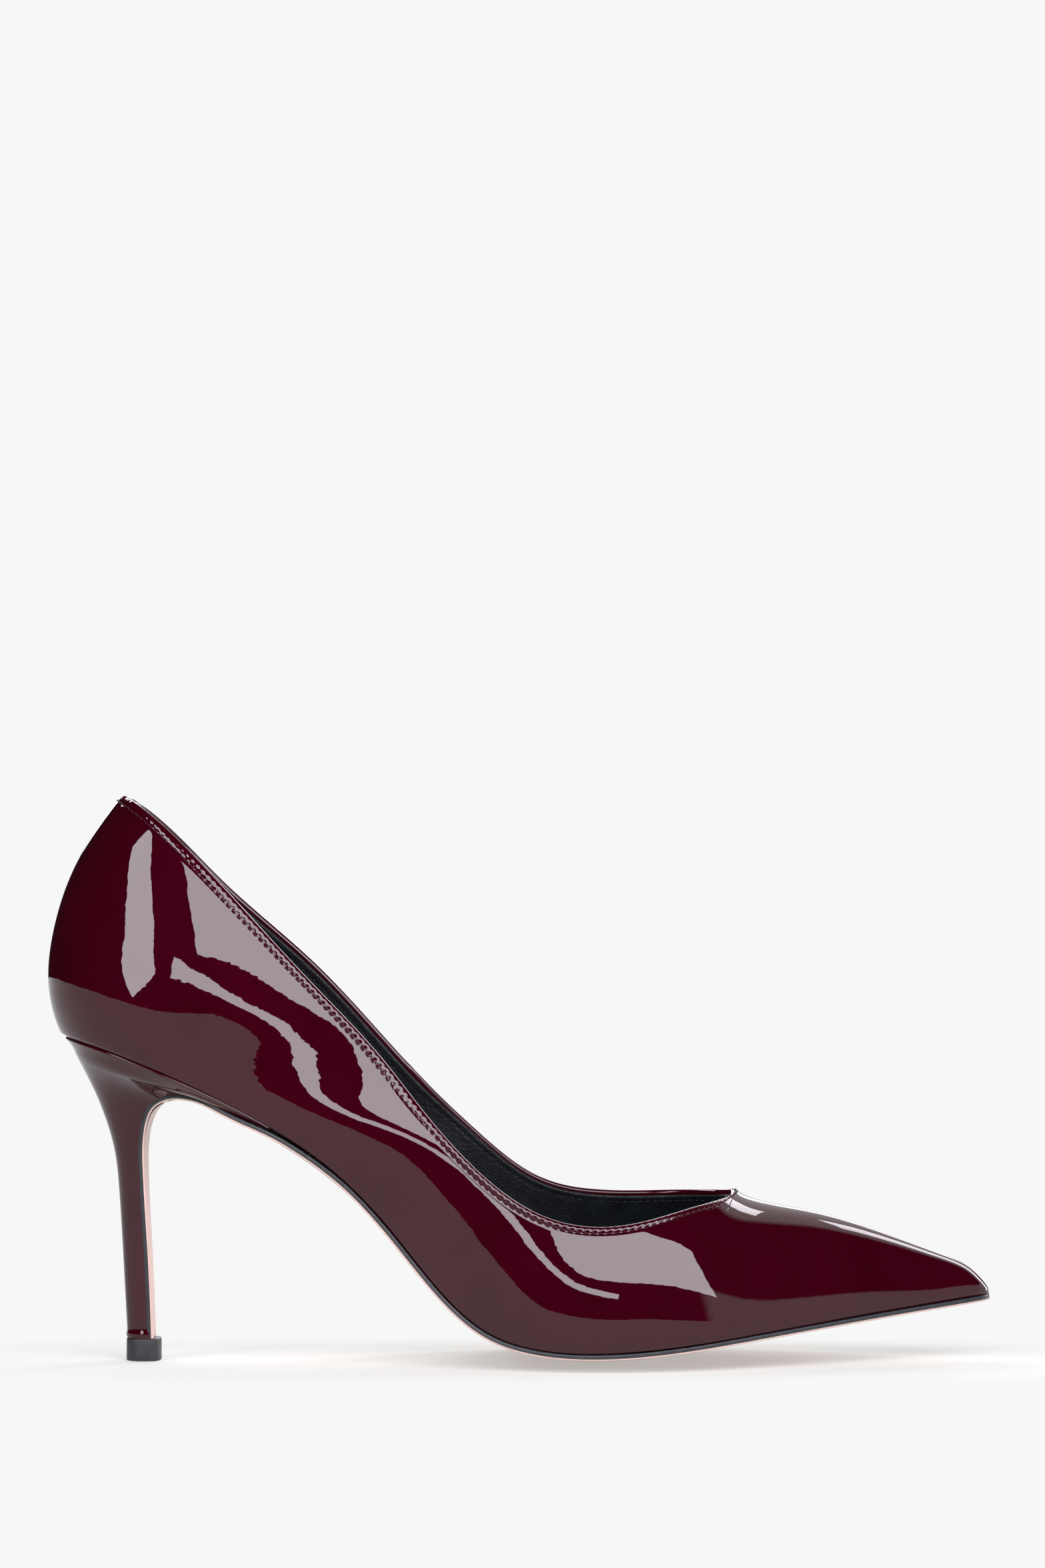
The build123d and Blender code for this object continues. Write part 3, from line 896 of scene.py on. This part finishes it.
def sole_path():
    """Middle line of the sole's contact face, toe to top piece, and its half widths."""
    toe = outlines[1][-1]
    share = 1 - np.cos(np.linspace(0, 1, SOLE_POINTS) * pi / 2)
    x = toe[0] + (FLAP_START - toe[0]) * share
    sole = np.stack([x, feather_at(x)], -1)
    widths = {}
    for side in (-1, 1):
        rim = outlines[side]
        widths[side] = np.interp(x, rim[:, 0], side * rim[:, 1])
    knots = np.linspace(1, len(HEEL_SECTIONS) - 1, FLAP_POINTS)
    flap = heel_edge_at(knots)
    flap_width = heel_width_at(knots)
    anchor = np.concatenate([sole, flap])
    length = arc_length(anchor)
    before = np.arange(0, SOLE_POINTS - BEND_GAP)
    after = np.arange(SOLE_POINTS, len(anchor))
    keep = np.concatenate([before, after])[::BEND_STEP]
    line = spline(length[keep], anchor[keep])
    stretch = length[SOLE_POINTS - 1]
    start = length[:SOLE_POINTS]
    rest = np.linspace(stretch, length[-1], FLAP_POINTS + BEND_EXTRA)[1:]
    where = np.concatenate([start, rest])
    path = line(where)
    plain = slice(0, SOLE_POINTS - BEND_ROUNDED)
    path[plain] = sole[plain]
    half_widths = {}
    for side in (-1, 1):
        both = np.concatenate([widths[side], flap_width])
        half_widths[side] = spline(length[keep], both[keep])(where)
        half_widths[side][plain] = widths[side][plain]
    return path, half_widths, where


def sole_grids():
    """The sole's painted edges, bevels, contact face and upper face."""
    path, widths, where = sole_path()
    tangent = unit(np.gradient(path, where, axis=0))
    along = np.stack([tangent[:, 0], 0 * where, tangent[:, 1]], -1)
    face = np.stack([-tangent[:, 1], 0 * where, tangent[:, 0]], -1)
    bent = smooth_step((-60.0 - path[:, 0]) / 22.0)
    bent[path[:, 1] < 60.0] = 1.0
    bent = np.maximum.accumulate(bent)
    thickness = lerp(SOLE_THICKNESS, FLAP_THICKNESS, bent)[:, None]
    crown = (1 - smooth_step((-60.0 - path[:, 0]) / 16.0)) * (path[:, 1] < 66.0)
    crown = np.minimum.accumulate(crown)
    middle = np.stack([path[:, 0], 0 * where, path[:, 1]], -1)

    def place(y, drop):
        point = middle + drop * thickness * face
        point[:, 1] = y
        point[:, 2] += crown * y**2 / (2 * SOLE_CROWN_RADIUS)
        return point

    edges = {}
    for side in (-1, 1):
        slope = np.gradient(widths[side], where)
        slope[0] = slope[1] = 40.0
        out = unit(side * np.array([0, 1.0, 0]) - slope[:, None] * along)
        edges[side] = [
            place(side * widths[side], drop) + outset * out for outset, drop in EDGE_PROFILE
        ]
        edges[side, "bevel"] = [
            place(side * widths[side], drop) + outset * out for outset, drop in BEVEL_PROFILE
        ]
    grids = []
    for side in (-1, 1):
        grids.append((np.array(edges[side]), side > 0, 0))
        grids.append((np.array(edges[side, "bevel"]), side > 0, 1))
    left = edges[-1, "bevel"][-1]
    right = edges[1, "bevel"][-1]
    rows = []
    upper_rows = []
    for share in np.linspace(0, 1, 41):
        point = lerp(left, right, share)
        rows.append(np.concatenate([point[:, :2], place(point[:, 1], 1.0)[:, 2:]], 1))
        under = lerp(edges[-1][0], edges[1][0], share)
        upper_rows.append(np.concatenate([under[:, :2], place(under[:, 1], -0.28)[:, 2:]], 1))
    grids.append((np.array(rows), False, 1))
    grids.append((np.array(upper_rows), True, 1))
    return grids


outsole = make_mesh("outsole_leather", sole_grids(), [EDGE, NUDE])
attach(outsole, "root")
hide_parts("outsole", "tuck_board", "bottom_filler")


# ---------------------------------------------------------------------------------------
# Heel cover and top piece
# ---------------------------------------------------------------------------------------
HEEL_ROWS = 190
HEEL_COLUMNS = 90
RIM_BULGE = 0.32
HEEL_ROLL = 0.8
HEEL_CREASE = 0.42
TIP_HALF_WIDTH = 4.75


def heel_grid(side):
    """Rows of one side of the heel cover, from the seat down to the top piece."""
    rim = outlines[side]
    seat = rim[rim[:, 0] < WEDGE_FRONT]
    length = arc_length(seat)
    shares = np.linspace(0, 1, HEEL_COLUMNS)
    top = np.stack([np.interp(shares * length[-1], length, seat[:, k]) for k in range(3)], -1)
    width = abs(top[-1, 1])
    run = top[-1] - top[0]
    seat_x = (top[:, 0] - top[0, 0]) / run[0]
    seat_y = top[:, 1] / (side * width)
    seat_lift = top[:, 2] - (top[0, 2] + seat_x * run[2])
    angle = shares * pi / 2
    round_x = 1 - np.cos(angle)
    round_y = np.sin(angle) ** 0.94
    rows = []
    knots = np.linspace(0, len(HEEL_SECTIONS) - 1, HEEL_ROWS)
    for knot in knots:
        back = heel_back_at(knot)
        edge = heel_edge_at(knot)
        half = float(heel_width_at(knot))
        start = float(smooth_step(1 - knot))
        back = lerp(back, top[0, [0, 2]], start)
        edge = lerp(edge, top[-1, [0, 2]], start)
        half = lerp(half, width, start)
        change = float(smooth_step(knot / 5.5))
        section_x = lerp(seat_x, round_x, change)
        section_y = lerp(seat_y, round_y, change)
        lift = seat_lift * float(smooth_step(1 - knot / 2.0))
        x = back[0] + (edge[0] - back[0]) * section_x
        z = back[1] + (edge[1] - back[1]) * section_x + lift
        rows.append(np.stack([x, side * half * section_y, z], -1))
    rows = np.array(rows)
    for column, share in enumerate(shares):
        lowered = knots + HEEL_CREASE * (1 - share**2) * np.exp(-((knots / 0.9) ** 2))
        line = rows[:, column]
        rows[:, column] = np.stack([np.interp(lowered, knots, line[:, k]) for k in range(3)], -1)
    middle_x = (rows[:, :1, 0] + rows[:, -1:, 0]) / 2
    outward = rows * np.array([1, 1, 0])
    outward[..., 0] -= middle_x
    outward = unit(outward)
    low = rows[-1, 0, 2]
    rise = rows[..., 2:] - low
    bulge = RIM_BULGE * np.exp(-(((rise - 0.9) / 0.75) ** 2))
    rows = rows + outward * bulge
    starts = [rows[0] - outward[0] * 3.0 + np.array([0, 0, HEEL_ROLL])]
    for turn in np.linspace(pi / 2, 0.2, 6):
        lift = np.array([0, 0, HEEL_ROLL * sin(turn)])
        starts.append(rows[0] - outward[0] * HEEL_ROLL * (1 - cos(turn)) + lift)
    ends = []
    for turn in np.linspace(0.3, pi / 2, 5):
        drop = np.array([0, 0, -0.3 * sin(turn)])
        ends.append(rows[-1] - outward[-1] * 0.3 * (1 - cos(turn)) + drop)
    ends.append(rows[-1] - outward[-1] * 2.0 + np.array([0, 0, -0.3]))
    return np.concatenate([np.array(starts), rows, np.array(ends)])


heel_skin = make_mesh(
    "heel_cover_leather", [(heel_grid(side), side > 0, 0) for side in (-1, 1)], [PATENT]
)
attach(heel_skin, "root")
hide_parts("heel_cover", "heel_core")


def tip_grid():
    """The top piece: a D-shaped block with softened edges, closed above and below."""
    box_low, box_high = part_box("heel_tip")
    back, front = box_low.x / MM, box_high.x / MM
    height = box_high.z / MM
    middle = (back + front) / 2
    depth = (front - back) / 2
    angle = np.linspace(0, 2 * pi, 97)
    across = np.sign(np.sin(angle)) * np.abs(np.sin(angle)) ** 0.85
    along = np.cos(angle)
    length = np.where(along > 0, np.abs(along) ** 0.42, -np.abs(along) ** 0.95)
    outline = np.stack([length * depth, across * TIP_HALF_WIDTH], -1)
    rows = []
    profile = [
        (0.0, 0.0),
        (0.0, 0.93),
        (0.06, 0.965),
        (0.2, 0.985),
        (0.45, 0.992),
        (2.0, 0.985),
        (height - 0.5, 0.985),
        (height - 0.2, 0.975),
        (height - 0.05, 0.95),
        (height, 0.90),
        (height, 0.0),
    ]
    for z, grow in profile:
        ring = outline * grow
        rows.append(np.stack([middle + ring[:, 0], ring[:, 1], 0 * angle + z], -1))
    return np.array(rows)


heel_tip = make_mesh("top_piece", [(tip_grid(), False, 0)], [TIP])
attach(heel_tip, "root")
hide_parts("heel_tip")


# ---------------------------------------------------------------------------------------
# Stitching: one small bent capsule for each stitch
# ---------------------------------------------------------------------------------------
STITCH_LENGTH = 1.55
STITCH_RADIUS = 0.19
INNER_STITCH_LENGTH = 1.5
INNER_STITCH_RADIUS = 0.16
STITCH_RISE = 0.10
STITCH_DIVE = 0.34
STITCH_LEAN = 0.10
STITCH_RINGS = 7
STITCH_SIDES = 8


def stitch_rows(depth, inside, length, radius, side):
    """Capsules along one side of the topline at a depth, on the outer or inner face.

    The place next to the back seam is left free.
    """
    wall = walls[side]
    columns = slice(0, TOPLINE_COLUMNS + 1)
    point, normal = (a[columns] for a in wall.below_edge(depth))
    if inside:
        point = point - normal * (LINING_FACE - 0.02)
        normal = -normal
    run = arc_length(point)
    count = int(run[-1] // STITCH_PITCH)
    grids = []
    for k in range(1, count):
        centre = (k + 0.5) * run[-1] / count
        places = centre + np.linspace(-0.5, 0.5, STITCH_RINGS) * length
        middle = np.stack([np.interp(places, run, point[:, i]) for i in range(3)], -1)
        up = unit(np.stack([np.interp(places, run, normal[:, i]) for i in range(3)], -1))
        along = unit(np.gradient(middle, axis=0))
        across = np.cross(along, up)
        t = np.linspace(-1, 1, STITCH_RINGS)
        arch = (STITCH_RISE - STITCH_DIVE * t**4)[:, None]
        lean = (STITCH_LEAN * t)[:, None]
        size = (radius * np.sqrt(np.clip(1 - 0.92 * t**6, 0.02, 1)))[:, None]
        middle = middle + up * arch + across * lean
        around = np.linspace(0, 2 * pi, STITCH_SIDES + 1)
        rings = [middle + size * (cos(a) * across + sin(a) * up) for a in around]
        grids.append((np.array(rings), False, 0))
    return grids


outer_stitches = []
inner_stitches = []
inner_size = (INNER_STITCH_LENGTH, INNER_STITCH_RADIUS)
for side in (-1, 1):
    outer_stitches += stitch_rows(STITCH_DEPTH, False, STITCH_LENGTH, STITCH_RADIUS, side)
    inner_stitches += stitch_rows(LINING_TOP + LINING_SEAM, True, *inner_size, side)
topline_stitches = make_mesh("topline_stitches", outer_stitches, [THREAD])
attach(topline_stitches, "root")
lining_stitches = make_mesh("lining_stitches", inner_stitches, [LINING])
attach(lining_stitches, "root")

dress_inner_nodes()


# ---------------------------------------------------------------------------------------
# Floor, light and camera
# ---------------------------------------------------------------------------------------
FLOOR_WHITE = 0.93
FLOOR_GLOW = 0.34
FLOOR_ALBEDO = (0.47, 0.49, 0.46)

# The floor is shaded within the first of two distances, in metres, and plain beyond the
# second; the distances are measured after a stretch of the floor's axes.
FLOOR_STRETCH = (0.35, 3.0, 1.0)
FLOOR_SHADED = (0.05, 0.17)
LIGHT_COLOUR = (0.97, 0.93, 1.0)
LIGHT_AIM = (0.0, 0.0, 0.07)


def make_floor():
    """A seamless pale floor that shades softly near the shoe and runs out to plain white."""
    bpy.ops.mesh.primitive_circle_add(vertices=96, radius=6.0, fill_type="NGON")
    floor = bpy.context.object
    floor.name = "floor"
    material, tree, shader = new_material("floor_white", FLOOR_ALBEDO, 0.6, 0.0)
    shader.inputs["Emission Color"].default_value = (1, 1, 1, 1)
    shader.inputs["Emission Strength"].default_value = FLOOR_GLOW
    glow = add_node(tree, "ShaderNodeEmission", Color=(1, 1, 1, 1), Strength=FLOOR_WHITE)
    place = stretched(tree, object_coordinates(tree), FLOOR_STRETCH)
    length = add_node(tree, "ShaderNodeVectorMath", {"operation": "LENGTH"}, {0: place})
    far = stepped(tree, length.outputs["Value"], *FLOOR_SHADED)
    links = {0: far, 1: shader.outputs[0], 2: glow.outputs[0]}
    mix = add_node(tree, "ShaderNodeMixShader", links=links)
    tree.links.new(mix.outputs[0], tree.nodes["Material Output"].inputs["Surface"])
    floor.data.materials.append(material)


def stepped(tree, value, start, end):
    """A soft step from 0 to 1 as a value goes from start to end."""
    node = add_node(tree, "ShaderNodeMapRange", {"interpolation_type": "SMOOTHSTEP"}, {"Value": value})
    node.inputs["From Min"].default_value = start
    node.inputs["From Max"].default_value = end
    return node.outputs[0]


def combined(tree, operation, first, second):
    """One maths operation on two values."""
    links = {0: first, 1: second}
    return add_node(tree, "ShaderNodeMath", {"operation": operation}, links).outputs[0]


def make_world():
    """A dark room, plain white to the camera.

    It is pale high behind the toe, straight behind the shoe and low on the toe side.
    """
    world = bpy.data.worlds.new("studio")
    bpy.context.scene.world = world
    world.use_nodes = True
    tree = world.node_tree
    place = add_node(tree, "ShaderNodeTexCoord").outputs["Generated"]
    parts = add_node(tree, "ShaderNodeSeparateXYZ", links={0: place}).outputs
    above_toe = combined(
        tree, "MULTIPLY", stepped(tree, parts["Y"], 0.30, 0.42), stepped(tree, parts["X"], -0.12, 0.0)
    )
    above_toe = combined(tree, "MULTIPLY", above_toe, stepped(tree, parts["Z"], 0.28, 0.36))
    behind = stepped(tree, parts["Y"], 0.94, 0.97)
    low_right = combined(
        tree, "MULTIPLY", stepped(tree, parts["X"], 0.60, 0.66), stepped(tree, parts["Z"], 0.44, 0.39)
    )
    white = combined(tree, "MAXIMUM", above_toe, behind)
    white = combined(tree, "MAXIMUM", white, low_right)
    seen = add_node(tree, "ShaderNodeLightPath").outputs["Is Camera Ray"]
    white = combined(tree, "MAXIMUM", white, seen)
    colour = ramp(tree, white, [(0.0, (0.010, 0.010, 0.011)), (1.0, (FLOOR_WHITE,) * 3)])
    tree.links.new(colour, tree.nodes["Background"].inputs["Color"])


def softbox(name, azimuth, elevation, width, height, radiance, roll=0.0, distance=1.3):
    """A rectangular light seen from the shoe at an azimuth from the front, in degrees."""
    turn, rise = radians(azimuth), radians(elevation)
    way = Vector((sin(turn) * cos(rise), -cos(turn) * cos(rise), sin(rise)))
    light = bpy.data.lights.new(name, "AREA")
    light.shape = "RECTANGLE"
    light.size = 2 * distance * np.tan(radians(width / 2))
    light.size_y = 2 * distance * np.tan(radians(height / 2))
    light.energy = radiance * pi * light.size * light.size_y
    light.color = LIGHT_COLOUR
    lamp = bpy.data.objects.new(name, light)
    lamp.location = Vector(LIGHT_AIM) + way * distance
    facing = (-way).to_track_quat("-Z", "Y").to_matrix().to_4x4()
    lamp.rotation_euler = (facing @ Matrix.Rotation(radians(roll), 4, "Z")).to_euler()
    bpy.context.scene.collection.objects.link(lamp)


def make_camera():
    """The camera, in front of the lateral side and a little above the middle of the shoe."""
    camera = bpy.data.objects.new("camera", bpy.data.cameras.new("camera"))
    camera.location = (0.001, -1.01, 0.111)
    aim = Vector((0.001, 0.0, 0.151))
    camera.rotation_euler = (aim - camera.location).to_track_quat("-Z", "Y").to_euler()
    camera.data.lens = 88.0
    camera.data.sensor_width = 36.0
    bpy.context.scene.collection.objects.link(camera)
    bpy.context.scene.camera = camera


make_floor()
make_world()
make_camera()
softbox("strip_left", -42, 23, 12, 40, 9.0, roll=36)
softbox("window_low", -12, 9.6, 32, 3.2, 8.5, roll=-11, distance=0.39)
softbox("window_high", 16, 28.5, 64, 24, 8.5, distance=0.45)
softbox("window_back", 182, 16, 44, 9, 6.0)
softbox("strip_back", 132, 24, 12, 50, 7.0, roll=-20)
softbox("overhead_back", 205, 44, 40, 14, 6.0)
bpy.context.scene.view_settings.view_transform = "Standard"
